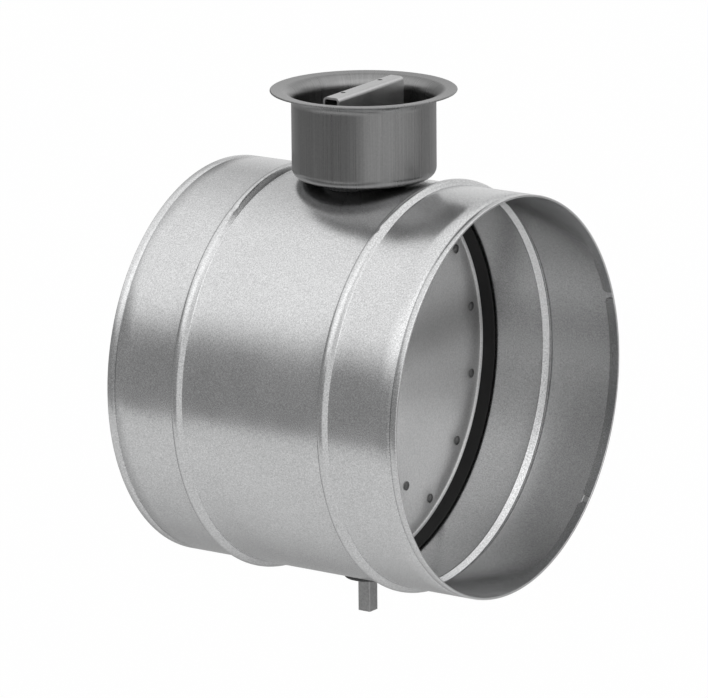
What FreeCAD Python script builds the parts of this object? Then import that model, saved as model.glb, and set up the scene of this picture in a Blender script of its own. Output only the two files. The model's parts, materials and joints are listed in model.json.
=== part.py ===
import FreeCAD, Part

import math
import os

# Round shut-off damper. X is the duct's axis, Z the blade's shaft, and the
# origin lies where they cross. The blade is closed, across the duct.
# All lengths are in millimetres and all angles in degrees.

# Driving dimensions of the casing
DUCT_OUTER_R = 111.65
SHEET = 0.7
CASING_LENGTH = 191.0
BEAD_X = 48.1
BEAD_HEIGHT = 3.15
BEAD_WIDTH = 8.0
BEAD_CREST_R = 2.4
HEM_LENGTH = 6.0
HEM_CREASE_FROM_END = 4.6
HEM_CREASE_DEPTH = 0.5
HEM_CREASE_WIDTH = 1.4
HEM_FOLD_R = 1.0
HEM_NOTCH_GAP = 3.6
HEM_CORNER_R = 4.2
HEM_NOTCH_ANGLES = (-43.5, 21.0)

# Driving dimensions of the two pressed seats
SADDLE_BEYOND_RIVETS = 4.3
SADDLE_SLOPE = 43.0
LOWER_SEAT_BEYOND_BUSH = 0.4
LOWER_SEAT_HEIGHT = 1.8
LOWER_SEAT_FILLET = 1.2
LOWER_SEAT_SKIRT = 3.0

# Driving dimensions of the handle cup
CUP_OUTER_R = 39.8
CUP_HEIGHT = 49.0
CUP_SHEET = 1.0
CUP_CORNER_R = 5.6
CUP_NECK_R = 6.0
CUP_FLANGE_WIDTH = 11.7
CUP_FLANGE_RISE = 1.0
CUP_RIVET_FROM_BUSH = 4.3
CUP_RIVET_SPREAD = 22.0
CUP_RIVET_SHANK_R = 2.0
CUP_RIVET_HEAD_R = 3.6
CUP_RIVET_HEAD = 1.0

# Driving dimensions of the shaft and its bearings
SHAFT_SIDE = 8.0
SHAFT_EDGE = 0.5
SHAFT_STICK_OUT = 23.55
SHAFT_INTO_HANDLE = 6.5
SLEEVE_CORNER_WALL = 2.3
SLEEVE_FLANGE_WIDTH = 2.0
SLEEVE_FLANGE = 1.5
BUSH_WALL = 2.4
BUSH_FLANGE_WIDTH = 2.7
BUSH_FLANGE = 2.4
BUSH_FLANGE_FILLET = 1.4
BUSH_NUT_WALL = 2.9
BUSH_NUT_HEIGHT = 3.0
BUSH_NUT_NOTCHES = 6
BUSH_NUT_NOTCH_R = 1.5
BUSH_SEAL_WALL = 2.1
O_RING_SECTION_R = 0.7
O_RING_SQUEEZE = 0.025

# Driving dimensions of the blade
DISC_EDGE_GAP = 3.25
DISC_SHEET = 1.0
POLE_WINDOW_MARGIN = 1.0
GASKET_CLEARANCE = 0.35
GASKET_HALF_WIDTH = 15.0
GASKET_LIP = 0.9
GASKET_STEP = 1.5
GASKET_WEB_DEPTH = 15.0
RIVET_FROM_EDGE = 7.7
RIVET_COUNT = 16
RIVET_SHANK_R = 1.6
RIVET_HEAD_R = 2.6
RIVET_HEAD_HEIGHT = 0.8
SPACER_FROM_EDGE = 30.3
SPACER_ANGLE = 24.4
SPACER_R = 4.5
SHAFT_RIVET_FROM_EDGE = 45.7
SHAFT_RIVET_R = 2.5
SHAFT_RIVET_HEAD_R = 4.0
SHAFT_RIVET_HEAD_HEIGHT = 1.2

# Driving dimensions of the handle and its lock
HANDLE_LENGTH = 62.5
HANDLE_SHEET = 1.2
HANDLE_FOLD_R = 2.4
HANDLE_ABOVE_FLANGE = 1.2
HANDLE_RISE = 1.6
HANDLE_FOOT_ABOVE_BUSH = 1.0
HANDLE_FOOT_RIM = 4.2
HANDLE_HOLE_R = 1.4
HANDLE_HOLE_PLACE = (-1.3, 17.8)
HANDLE_BOLT_R = 2.5
HANDLE_BOLT_ABOVE_FLOOR = 23.0
HANDLE_BOLT_END = 2.0
BOLT_ACROSS_FLATS = 8.0
BOLT_HEAD_HEIGHT = 3.5
BOLT_NUT_HEIGHT = 4.0
LOCK_STUD_OFF_MIDDLE = 0.29
LOCK_STUD_R = 2.5
LOCK_STUD_END = 2.0
LOCK_SHOULDER_R = 5.0
LOCK_WASHER_R = 6.0
LOCK_WASHER = 1.0
LOCK_NUT_ACROSS_FLATS = 8.0
LOCK_NUT_HEIGHT = 4.0
LOCK_NUT_TOP_R = 4.4
OPEN_ANGLE = 90.0

# Clearances, and how far a cutting tool reaches past what it cuts
TOUCH_GAP = 0.05
LOOSE_GAP = 0.3
SLIDE_GAP = 0.1
CUT_PAST = 5.0

# Sizes of the bearings, from the shaft outwards
SHAFT_HOLE_SIDE = SHAFT_SIDE + 2 * TOUCH_GAP
SLEEVE_R = SHAFT_HOLE_SIDE / math.sqrt(2) + SLEEVE_CORNER_WALL
SLEEVE_FLANGE_R = SLEEVE_R + SLEEVE_FLANGE_WIDTH
BUSH_BORE_R = SLEEVE_R + TOUCH_GAP
BUSH_SLEEVE_R = BUSH_BORE_R + BUSH_WALL
BUSH_FLANGE_R = BUSH_SLEEVE_R + BUSH_FLANGE_WIDTH
BUSH_HOLE_R = BUSH_SLEEVE_R + TOUCH_GAP
BUSH_NUT_R = BUSH_HOLE_R + BUSH_NUT_WALL
BUSH_SEAL_R = BUSH_HOLE_R + BUSH_SEAL_WALL

# Sizes and places of the casing, its seats and the cup
DUCT_INNER_R = DUCT_OUTER_R - SHEET
HALF_LENGTH = CASING_LENGTH / 2
SADDLE_INNER_R = DUCT_OUTER_R + TOUCH_GAP
SADDLE_TOP_Z = SADDLE_INNER_R + SHEET
LOWER_SEAT_R = BUSH_FLANGE_R + LOWER_SEAT_BEYOND_BUSH
LOWER_SEAT_Z = DUCT_OUTER_R + LOWER_SEAT_HEIGHT
CUP_BOTTOM_Z = SADDLE_TOP_Z + TOUCH_GAP
CUP_FLOOR_Z = CUP_BOTTOM_Z + CUP_SHEET
CUP_TOP_Z = CUP_BOTTOM_Z + CUP_HEIGHT
CUP_FLANGE_R = CUP_OUTER_R + CUP_FLANGE_WIDTH
CUP_RIVET_CIRCLE_R = BUSH_FLANGE_R + CUP_RIVET_FROM_BUSH
SADDLE_EDGE_R = CUP_RIVET_CIRCLE_R + SADDLE_BEYOND_RIVETS

# Places of the nuts and seals inside the casing
BUSH_NUT_TOP = math.sqrt(DUCT_INNER_R ** 2 - BUSH_NUT_R ** 2) - LOOSE_GAP
BUSH_NUT_BOTTOM = BUSH_NUT_TOP - BUSH_NUT_HEIGHT
O_RING_Z = (BUSH_NUT_BOTTOM + DUCT_OUTER_R) / 2
O_RING_GROOVE_R = SLEEVE_R - 2 * O_RING_SECTION_R

# Sizes and places of the blade
DISC_R = DUCT_INNER_R - DISC_EDGE_GAP
DISC_INNER_X = SHAFT_SIDE / 2
DISC_OUTER_X = DISC_INNER_X + DISC_SHEET
POLE_WINDOW_Z = BUSH_NUT_BOTTOM - SLEEVE_FLANGE - 2 * LOOSE_GAP
POLE_WINDOW_R = BUSH_NUT_R + POLE_WINDOW_MARGIN
GASKET_OUTER_R = DUCT_INNER_R - GASKET_CLEARANCE
GASKET_SEAT_R = DISC_R + LOOSE_GAP / 2
RIVET_CIRCLE_R = DISC_R - RIVET_FROM_EDGE
SPACER_CIRCLE_R = DISC_R - SPACER_FROM_EDGE
SHAFT_RIVET_Z = DISC_R - SHAFT_RIVET_FROM_EDGE
SHAFT_BELOW = DUCT_OUTER_R + SHAFT_STICK_OUT

# Sizes and places of the handle and its lock
HANDLE_INNER_HALF = SHAFT_SIDE / 2 + TOUCH_GAP
HANDLE_OUTER_HALF = HANDLE_INNER_HALF + HANDLE_SHEET
HANDLE_TOP_Z = CUP_TOP_Z + HANDLE_ABOVE_FLANGE
HANDLE_BOLT_Z = CUP_FLOOR_Z + HANDLE_BOLT_ABOVE_FLOOR
FOOT_BOTTOM_Z = CUP_FLOOR_Z + BUSH_FLANGE + HANDLE_FOOT_ABOVE_BUSH
FOOT_TOP_Z = FOOT_BOTTOM_Z + HANDLE_SHEET
CUP_FLAT_R = CUP_OUTER_R - CUP_CORNER_R
LOCK_CIRCLE_R = (BUSH_FLANGE_R + CUP_FLAT_R) / 2 + LOCK_STUD_OFF_MIDDLE
LOCK_SLOT_R = LOCK_STUD_R + LOOSE_GAP
HANDLE_FOOT_R = LOCK_CIRCLE_R + LOCK_SLOT_R + HANDLE_FOOT_RIM
LOCK_SHOULDER_Z = FOOT_BOTTOM_Z - LOOSE_GAP
LOCK_WASHER_Z = FOOT_TOP_Z + LOOSE_GAP
LOCK_NUT_Z = LOCK_WASHER_Z + LOCK_WASHER + LOOSE_GAP
LOCK_STUD_TOP_Z = LOCK_NUT_Z + LOCK_NUT_HEIGHT + LOCK_STUD_END
LOCK_STUD_ANGLE = OPEN_ANGLE / 2

ORIGIN = FreeCAD.Vector(0, 0, 0)
AXIS_X = FreeCAD.Vector(1, 0, 0)
AXIS_Y = FreeCAD.Vector(0, 1, 0)
AXIS_Z = FreeCAD.Vector(0, 0, 1)


def point(x, y, z):
    return FreeCAD.Vector(x, y, z)


def cylinder_z(radius, low, high, x=0.0, y=0.0):
    """An upright cylinder between two heights."""
    return Part.makeCylinder(radius, high - low, point(x, y, low), AXIS_Z)


def cylinder_x(radius, low, high, y=0.0, z=0.0):
    """A cylinder along the duct between two stations."""
    return Part.makeCylinder(radius, high - low, point(low, y, z), AXIS_X)


def box(low, high):
    """A box between two opposite corners."""
    size = [b - a for a, b in zip(low, high)]
    return Part.makeBox(size[0], size[1], size[2], point(*low))


def turned(shape, angle, axis=AXIS_Z):
    copy = shape.copy()
    copy.rotate(ORIGIN, axis, angle)
    return copy


def mirrored(shape, normal):
    return shape.mirror(ORIGIN, normal)


def revolved(edges, axis):
    """Turns a closed outline, given as its edges in order, all the way round an axis."""
    return Part.Face(Part.Wire(edges)).revolve(ORIGIN, axis, 360)


def line(a, b):
    return Part.LineSegment(a, b).toShape()


def arc(a, middle, b):
    return Part.Arc(a, middle, b).toShape()


def on_circle(centre, radius, angle, across, up):
    """A point on a circle that lies in the plane of two directions."""
    turn = math.radians(angle)
    return centre + across * (radius * math.cos(turn)) + up * (radius * math.sin(turn))


def arc_about(centre, radius, start, end, across, up):
    """An arc by its centre and its two angles, in the plane of two directions."""
    ends = [on_circle(centre, radius, angle, across, up) for angle in (start, (start + end) / 2, end)]
    return arc(*ends)


def bead_edges(inset):
    """One rolled bead of the tube's outline, from low x to high x, set in from the outer face."""
    half = BEAD_WIDTH / 2
    slope = 2 * math.degrees(math.atan(BEAD_HEIGHT / half))
    foot_r = half / math.sin(math.radians(slope)) - BEAD_CREST_R + inset
    foot_z = DUCT_OUTER_R - inset + foot_r
    low_foot = point(BEAD_X - half, 0, foot_z)
    crest = point(BEAD_X, 0, DUCT_OUTER_R + BEAD_HEIGHT - BEAD_CREST_R)
    high_foot = point(BEAD_X + half, 0, foot_z)
    return [
        arc_about(low_foot, foot_r, -90, -90 + slope, AXIS_X, AXIS_Z),
        arc_about(crest, BEAD_CREST_R - inset, 90 + slope, 90 - slope, AXIS_X, AXIS_Z),
        arc_about(high_foot, foot_r, -90 - slope, -90, AXIS_X, AXIS_Z),
    ]


def casing_half_outline():
    """The right half of the tube's section, as a closed outline above the duct's axis."""
    bead_low = BEAD_X - BEAD_WIDTH / 2
    bead_high = BEAD_X + BEAD_WIDTH / 2
    crease_x = HALF_LENGTH - HEM_CREASE_FROM_END
    crease_half = HEM_CREASE_WIDTH / 2
    rim_x = HALF_LENGTH - HEM_FOLD_R
    hem_x = HALF_LENGTH - HEM_LENGTH
    hem_z = DUCT_OUTER_R - 2 * HEM_FOLD_R
    crease = [
        point(bead_high, 0, DUCT_OUTER_R),
        point(crease_x - crease_half, 0, DUCT_OUTER_R),
        point(crease_x, 0, DUCT_OUTER_R - HEM_CREASE_DEPTH),
        point(crease_x + crease_half, 0, DUCT_OUTER_R),
        point(rim_x, 0, DUCT_OUTER_R),
    ]
    fold = [
        point(rim_x, 0, hem_z),
        point(hem_x + SHEET / 2, 0, hem_z),
        point(hem_x, 0, DUCT_INNER_R),
        point(bead_high, 0, DUCT_INNER_R),
    ]
    middle = [
        point(bead_low, 0, DUCT_INNER_R),
        point(0, 0, DUCT_INNER_R),
        point(0, 0, DUCT_OUTER_R),
        point(bead_low, 0, DUCT_OUTER_R),
    ]
    edges = bead_edges(0.0)
    edges += [line(a, b) for a, b in zip(crease, crease[1:])]
    edges.append(arc_about(point(rim_x, 0, DUCT_OUTER_R - HEM_FOLD_R), HEM_FOLD_R, 90, -90, AXIS_X, AXIS_Z))
    edges += [line(a, b) for a, b in zip(fold, fold[1:])]
    edges += reversed(bead_edges(SHEET))
    edges += [line(a, b) for a, b in zip(middle, middle[1:])]
    return edges


def hem_notch(angle):
    """The gap in the folded rim where the sheet's two corners were cut round before it was folded."""
    half = HEM_NOTCH_GAP / 2
    corner = HEM_CORNER_R
    rim_x = HALF_LENGTH - HEM_FOLD_R
    hem_x = HALF_LENGTH - HEM_LENGTH
    low_z = DUCT_INNER_R - SHEET - CUT_PAST
    path = [
        point(hem_x, half + corner, low_z),
        point(hem_x - CUT_PAST, half + corner, low_z),
        point(hem_x - CUT_PAST, -half - corner, low_z),
        point(hem_x, -half - corner, low_z),
    ]
    left_corner = point(hem_x + corner, -half - corner, low_z)
    right_corner = point(hem_x + corner, half + corner, low_z)
    sides = [
        point(hem_x + corner, -half, low_z),
        point(rim_x, -half, low_z),
        point(rim_x, half, low_z),
        point(hem_x + corner, half, low_z),
    ]
    edges = [line(a, b) for a, b in zip(path, path[1:])]
    edges.append(arc_about(left_corner, corner, 180, 90, AXIS_X, AXIS_Y))
    edges += [line(a, b) for a, b in zip(sides, sides[1:])]
    edges.append(arc_about(right_corner, corner, -90, -180, AXIS_X, AXIS_Y))
    notch = Part.Face(Part.Wire(edges)).extrude(point(0, 0, SHEET + 2 * CUT_PAST))
    notch = notch.common(cylinder_x(DUCT_INNER_R - TOUCH_GAP, hem_x - CUT_PAST, HALF_LENGTH))
    return turned(notch, angle - 90, AXIS_X)


def make_casing():
    """The galvanised tube with its two beads and the folded rims."""
    right = revolved(casing_half_outline(), AXIS_X)
    for angle in HEM_NOTCH_ANGLES:
        right = right.cut(hem_notch(angle))
    left = mirrored(right, AXIS_X)
    tube = right.fuse(left).removeSplitter()
    reach = DUCT_OUTER_R + CUT_PAST
    return tube.cut(cylinder_z(BUSH_HOLE_R, -reach, reach))


def cone_seat(top_z, edge_r, base_z):
    """A round seat's solid: flat on top, with a side that slopes outwards down to its base."""
    base_r = edge_r + (top_z - base_z) / math.tan(math.radians(SADDLE_SLOPE))
    corners = [
        point(0, 0, base_z),
        point(0, 0, top_z),
        point(edge_r, 0, top_z),
        point(base_r, 0, base_z),
        point(0, 0, base_z),
    ]
    return revolved([line(a, b) for a, b in zip(corners, corners[1:])], AXIS_Z)


def make_cup_saddle():
    """The pressed seat under the cup: flat on the tube's crown, its sloping side trimmed to the tube."""
    base_z = DUCT_OUTER_R - SADDLE_EDGE_R / 2
    past_top = SADDLE_TOP_Z + CUT_PAST
    inner_edge_r = SADDLE_EDGE_R - SHEET * math.tan(math.radians(SADDLE_SLOPE / 2))
    seat = cone_seat(SADDLE_TOP_Z, SADDLE_EDGE_R, base_z)
    seat = seat.cut(cone_seat(SADDLE_TOP_Z - SHEET, inner_edge_r, base_z - CUT_PAST))
    seat = seat.cut(cylinder_x(SADDLE_INNER_R, -DUCT_OUTER_R, DUCT_OUTER_R))
    seat = seat.cut(cylinder_z(BUSH_HOLE_R, base_z, past_top))
    for x, y in cup_rivet_places():
        seat = seat.cut(cylinder_z(CUP_RIVET_SHANK_R + TOUCH_GAP, base_z, past_top, x, y))
    return seat.removeSplitter()


def make_lower_seat():
    """The small pressed seat where the shaft leaves the tube below."""
    shoulder_r = LOWER_SEAT_R + LOWER_SEAT_FILLET
    shoulder_z = LOWER_SEAT_Z - LOWER_SEAT_FILLET
    foot_r = shoulder_r + LOWER_SEAT_FILLET
    foot_z = DUCT_OUTER_R - LOWER_SEAT_SKIRT
    past_foot = foot_r + CUT_PAST
    edges = [
        line(point(0, 0, 0), point(0, 0, LOWER_SEAT_Z)),
        line(point(0, 0, LOWER_SEAT_Z), point(LOWER_SEAT_R, 0, LOWER_SEAT_Z)),
        arc_about(point(LOWER_SEAT_R, 0, shoulder_z), LOWER_SEAT_FILLET, 90, 0, AXIS_X, AXIS_Z),
        line(point(shoulder_r, 0, shoulder_z), point(foot_r, 0, foot_z)),
        line(point(foot_r, 0, foot_z), point(foot_r, 0, 0)),
        line(point(foot_r, 0, 0), point(0, 0, 0)),
    ]
    seat = revolved(edges, AXIS_Z)
    seat = seat.cut(cylinder_z(shoulder_r - SHEET, 0, LOWER_SEAT_Z - SHEET))
    seat = seat.cut(cylinder_x(SADDLE_INNER_R, -past_foot, past_foot))
    seat = seat.cut(cylinder_z(BUSH_HOLE_R, 0, LOWER_SEAT_Z + CUT_PAST))
    return below(seat)


def cup_rivet_places():
    """Two rivets towards each side of the duct, where the saddle stands clear of the tube."""
    places = []
    for side in (90, 270):
        for offset in (-CUP_RIVET_SPREAD, CUP_RIVET_SPREAD):
            angle = math.radians(side + offset)
            places.append((CUP_RIVET_CIRCLE_R * math.cos(angle), CUP_RIVET_CIRCLE_R * math.sin(angle)))
    return places


def make_handle_cup():
    """The deep-drawn cup: flat floor, round corner, straight wall, round neck and a nearly flat flange."""
    wall_out = CUP_OUTER_R
    wall_in = CUP_OUTER_R - CUP_SHEET
    low = CUP_BOTTOM_Z
    floor = CUP_FLOOR_Z
    top = CUP_TOP_Z
    tilt = math.degrees(math.asin(CUP_FLANGE_RISE / CUP_FLANGE_WIDTH))
    neck_out = CUP_NECK_R
    neck_in = CUP_NECK_R + CUP_SHEET
    rise = (CUP_FLANGE_R - wall_out - neck_out) * math.tan(math.radians(tilt))
    neck_z = top - CUP_SHEET / math.cos(math.radians(tilt)) - rise - neck_out
    neck = point(wall_out + neck_out, 0, neck_z)
    corner_out = point(wall_out - CUP_CORNER_R, 0, low + CUP_CORNER_R)
    corner_in_r = CUP_CORNER_R - CUP_SHEET
    under_start = on_circle(neck, neck_out, 90 + tilt, AXIS_X, AXIS_Z)
    over_start = on_circle(neck, neck_in, 90 + tilt, AXIS_X, AXIS_Z)
    reach = (CUP_FLANGE_R - CUP_SHEET / 2 - under_start.x) / math.cos(math.radians(tilt))
    along = point(math.cos(math.radians(tilt)), 0, math.sin(math.radians(tilt)))
    under_end = under_start + along * reach
    over_end = over_start + along * (reach + (under_start - over_start).dot(along))
    lip_middle = (under_end + over_end) * 0.5 + along * (CUP_SHEET / 2)
    edges = [
        line(point(0, 0, low), point(corner_out.x, 0, low)),
        arc_about(corner_out, CUP_CORNER_R, -90, 0, AXIS_X, AXIS_Z),
        line(point(wall_out, 0, corner_out.z), point(wall_out, 0, neck_z)),
        arc_about(neck, neck_out, 180, 90 + tilt, AXIS_X, AXIS_Z),
        line(under_start, under_end),
        arc(under_end, lip_middle, over_end),
        line(over_end, over_start),
        arc_about(neck, neck_in, 90 + tilt, 180, AXIS_X, AXIS_Z),
        line(point(wall_in, 0, neck_z), point(wall_in, 0, corner_out.z)),
        arc_about(corner_out, corner_in_r, 0, -90, AXIS_X, AXIS_Z),
        line(point(corner_out.x, 0, floor), point(0, 0, floor)),
        line(point(0, 0, floor), point(0, 0, low)),
    ]
    cup = revolved(edges, AXIS_Z)
    holes = [(BUSH_HOLE_R, 0, 0)]
    holes += [(CUP_RIVET_SHANK_R + TOUCH_GAP, x, y) for x, y in cup_rivet_places()]
    holes += [(LOCK_STUD_R + TOUCH_GAP, x, y) for x, y in lock_places()]
    for radius, x, y in holes:
        cup = cup.cut(cylinder_z(radius, low - CUT_PAST, floor + CUT_PAST, x, y))
    return cup


def headed_pin(shank_r, low_face, high_face, head_r, head_height):
    """A rivet on the Z axis: a shank between two faces with a low domed head on each."""
    sphere_r = (head_r ** 2 + head_height ** 2) / (2 * head_height)
    spread = math.degrees(math.asin(head_r / sphere_r))
    high_centre = point(0, 0, high_face + head_height - sphere_r)
    low_centre = point(0, 0, low_face - head_height + sphere_r)
    edges = [
        line(point(0, 0, low_face - head_height), point(0, 0, high_face + head_height)),
        arc_about(high_centre, sphere_r, 90, 90 - spread, AXIS_X, AXIS_Z),
        line(point(head_r, 0, high_face), point(shank_r, 0, high_face)),
        line(point(shank_r, 0, high_face), point(shank_r, 0, low_face)),
        line(point(shank_r, 0, low_face), point(head_r, 0, low_face)),
        arc_about(low_centre, sphere_r, -90 + spread, -90, AXIS_X, AXIS_Z),
    ]
    return revolved(edges, AXIS_Z)


def make_cup_rivets():
    """The rivets that hold the cup's floor on its saddle."""
    rivet = headed_pin(CUP_RIVET_SHANK_R, SADDLE_TOP_Z - SHEET, CUP_FLOOR_Z, CUP_RIVET_HEAD_R, CUP_RIVET_HEAD)
    rivets = []
    for x, y in cup_rivet_places():
        copy = rivet.copy()
        copy.translate(point(x, y, 0))
        rivets.append(copy)
    return Part.makeCompound(rivets)


def top_edge(shape):
    """The highest edge of a round piece."""
    return max(shape.Edges, key=lambda edge: edge.CenterOfMass.z)


def make_bush(face_z):
    """A flanged bush: its flange lies on the face at this height, its sleeve goes through the wall."""
    flange = cylinder_z(BUSH_FLANGE_R, face_z, face_z + BUSH_FLANGE)
    flange = flange.makeFillet(BUSH_FLANGE_FILLET, [top_edge(flange)])
    sleeve = cylinder_z(BUSH_SLEEVE_R, BUSH_NUT_BOTTOM, face_z)
    return flange.fuse(sleeve).cut(cylinder_z(BUSH_BORE_R, 0, face_z + BUSH_FLANGE + CUT_PAST))


def make_bush_nut():
    """The ring nut that clamps a bush from inside the tube, with grip notches round its edge."""
    ring = cylinder_z(BUSH_NUT_R, BUSH_NUT_BOTTOM, BUSH_NUT_TOP)
    ring = ring.cut(cylinder_z(BUSH_HOLE_R, 0, DUCT_OUTER_R))
    notch_circle_r = BUSH_NUT_R + BUSH_NUT_NOTCH_R / 2
    for number in range(BUSH_NUT_NOTCHES):
        angle = math.radians(360 / BUSH_NUT_NOTCHES * (number + 0.5))
        x = notch_circle_r * math.cos(angle)
        y = notch_circle_r * math.sin(angle)
        ring = ring.cut(cylinder_z(BUSH_NUT_NOTCH_R, 0, DUCT_OUTER_R, x, y))
    return ring


def make_bush_seal():
    """The rubber ring between a bush's nut and the tube's inner wall, shaped to the wall."""
    ring = cylinder_z(BUSH_SEAL_R, BUSH_NUT_TOP + TOUCH_GAP, DUCT_OUTER_R)
    ring = ring.cut(cylinder_z(BUSH_HOLE_R, 0, DUCT_OUTER_R + CUT_PAST))
    return ring.common(cylinder_x(DUCT_INNER_R - TOUCH_GAP, -BUSH_NUT_R, BUSH_NUT_R))


def square_bar(side, low, high):
    return box((-side / 2, -side / 2, low), (side / 2, side / 2, high))


def make_sleeve(face_z):
    """The turning sleeve: round outside, square inside, with a flange between the ring nut and the blade."""
    flange_top = BUSH_NUT_BOTTOM - LOOSE_GAP
    barrel_top = face_z + BUSH_FLANGE
    flange = cylinder_z(SLEEVE_FLANGE_R, flange_top - SLEEVE_FLANGE, flange_top)
    barrel = cylinder_z(SLEEVE_R, flange_top, barrel_top)
    sleeve = flange.fuse(barrel)
    sleeve = sleeve.cut(square_bar(SHAFT_HOLE_SIDE, 0, barrel_top + CUT_PAST))
    groove_half = O_RING_SECTION_R + SLIDE_GAP
    groove = cylinder_z(SLEEVE_R + CUT_PAST, O_RING_Z - groove_half, O_RING_Z + groove_half)
    return sleeve.cut(groove.cut(cylinder_z(O_RING_GROOVE_R, 0, barrel_top)))


def make_shaft_seal():
    """The O-ring in a sleeve's groove, squeezed a little outwards against the bush."""
    ring_r = O_RING_GROOVE_R + O_RING_SECTION_R + O_RING_SQUEEZE
    return Part.makeTorus(ring_r, O_RING_SECTION_R, point(0, 0, O_RING_Z), AXIS_Z)


def below(shape):
    """The same piece at the lower end of the shaft."""
    return mirrored(shape, AXIS_Z)


def shaft_rivet_heights():
    return [-SHAFT_RIVET_Z, 0.0, SHAFT_RIVET_Z]


def make_shaft():
    """The square shaft with broken edges, drilled for the blade's rivets and the handle's bolt."""
    top = HANDLE_TOP_Z - HANDLE_SHEET - SHAFT_INTO_HANDLE
    bar = square_bar(SHAFT_SIDE, -SHAFT_BELOW, top)
    long_edges = [edge for edge in bar.Edges if edge.Length > SHAFT_SIDE * 2]
    bar = bar.makeChamfer(SHAFT_EDGE, long_edges)
    for height in shaft_rivet_heights():
        bar = bar.cut(cylinder_x(SHAFT_RIVET_R + TOUCH_GAP, -SHAFT_SIDE, SHAFT_SIDE, 0, height))
    return bar.cut(cylinder_x(HANDLE_BOLT_R + TOUCH_GAP, -SHAFT_SIDE, SHAFT_SIDE, 0, HANDLE_BOLT_Z))


def rivet_places():
    """Where the rivets round the blade's edge go, as y and z."""
    places = []
    for number in range(RIVET_COUNT):
        angle = math.radians(360 / RIVET_COUNT * (number + 0.5))
        places.append((RIVET_CIRCLE_R * math.cos(angle), RIVET_CIRCLE_R * math.sin(angle)))
    return places


def spacer_places():
    """Where the spacers go, two on each side of the shaft, as y and z."""
    y = SPACER_CIRCLE_R * math.sin(math.radians(SPACER_ANGLE))
    z = SPACER_CIRCLE_R * math.cos(math.radians(SPACER_ANGLE))
    return [(y, z), (-y, z), (y, -z), (-y, -z)]


def make_front_disc():
    """The flat disc on the side of the blade that the photo shows, cut out round the two bearings."""
    past = DISC_OUTER_X + CUT_PAST
    disc = cylinder_x(DISC_R, DISC_INNER_X, DISC_OUTER_X)
    window = box((0, -POLE_WINDOW_R, POLE_WINDOW_Z), (past, POLE_WINDOW_R, DUCT_OUTER_R))
    for opening in (window, below(window)):
        disc = disc.cut(opening)
    for y, z in rivet_places() + spacer_places():
        disc = disc.cut(cylinder_x(RIVET_SHANK_R + TOUCH_GAP, 0, past, y, z))
    for height in shaft_rivet_heights():
        disc = disc.cut(cylinder_x(SHAFT_RIVET_R + TOUCH_GAP, 0, past, 0, height))
    return disc


def make_gasket():
    """The right half of the blade's rubber ring: a web between the discs and a head with two lips."""
    half = GASKET_HALF_WIDTH
    web_r = DISC_R - GASKET_WEB_DEPTH
    web_x = DISC_INNER_X - TOUCH_GAP
    crest = point(0, 0, GASKET_OUTER_R)
    edge_z = math.sqrt(GASKET_OUTER_R ** 2 - half ** 2)
    outline = [
        point(half, 0, edge_z),
        point(half, 0, edge_z - GASKET_LIP),
        point(DISC_OUTER_X + GASKET_STEP, 0, GASKET_SEAT_R),
        point(web_x, 0, GASKET_SEAT_R),
        point(web_x, 0, web_r),
    ]
    path = outline + [point(-p.x, 0, p.z) for p in reversed(outline)]
    edges = [line(a, b) for a, b in zip(path, path[1:])]
    edges.append(arc(path[-1], crest, path[0]))
    reach = DUCT_OUTER_R
    shaft_half = SHAFT_SIDE / 2 + TOUCH_GAP
    window = cylinder_z(POLE_WINDOW_R, POLE_WINDOW_Z, reach)
    ring = revolved(edges, AXIS_X)
    ring = ring.common(box((-reach, TOUCH_GAP, -reach), (reach, reach, reach)))
    ring = ring.cut(box((-reach, -shaft_half, -reach), (reach, shaft_half, reach)))
    for opening in (window, below(window)):
        ring = ring.cut(opening)
    for y, z in rivet_places():
        ring = ring.cut(cylinder_x(RIVET_SHANK_R + TOUCH_GAP, -half, half, y, z))
    return ring


def along_x(shape, y, z):
    """Lays a piece that was made on the Z axis along X, at this place."""
    copy = turned(shape, 90, AXIS_Y)
    copy.translate(point(0, y, z))
    return copy


def blade_rivet():
    return headed_pin(RIVET_SHANK_R, -DISC_OUTER_X, DISC_OUTER_X, RIVET_HEAD_R, RIVET_HEAD_HEIGHT)


def make_blade_rivets():
    """The rivets that clamp the rubber between the discs."""
    return Part.makeCompound([along_x(blade_rivet(), y, z) for y, z in rivet_places()])


def make_spacers():
    """The tubes that keep the discs apart further in."""
    tube = cylinder_z(SPACER_R, -DISC_INNER_X, DISC_INNER_X)
    tube = tube.cut(cylinder_z(RIVET_SHANK_R + TOUCH_GAP, -SHAFT_SIDE, SHAFT_SIDE))
    return Part.makeCompound([along_x(tube, y, z) for y, z in spacer_places()])


def make_spacer_rivets():
    """The rivets that go through both discs and a spacer."""
    return Part.makeCompound([along_x(blade_rivet(), y, z) for y, z in spacer_places()])


def make_shaft_rivets():
    """The rivets that go through both discs and the shaft."""
    grip = DISC_OUTER_X
    rivet = headed_pin(SHAFT_RIVET_R, -grip, grip, SHAFT_RIVET_HEAD_R, SHAFT_RIVET_HEAD_HEIGHT)
    return Part.makeCompound([along_x(rivet, 0, height) for height in shaft_rivet_heights()])


def slotted_foot():
    """One foot of the handle: half a disc folded out along the side plate's lower edge."""
    reach = 2 * HANDLE_FOOT_R
    foot = cylinder_z(HANDLE_FOOT_R, FOOT_BOTTOM_Z, FOOT_TOP_Z)
    foot = foot.common(box((HANDLE_INNER_HALF, -reach, FOOT_BOTTOM_Z), (reach, reach, FOOT_TOP_Z)))
    return foot.cut(lock_slot())


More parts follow.
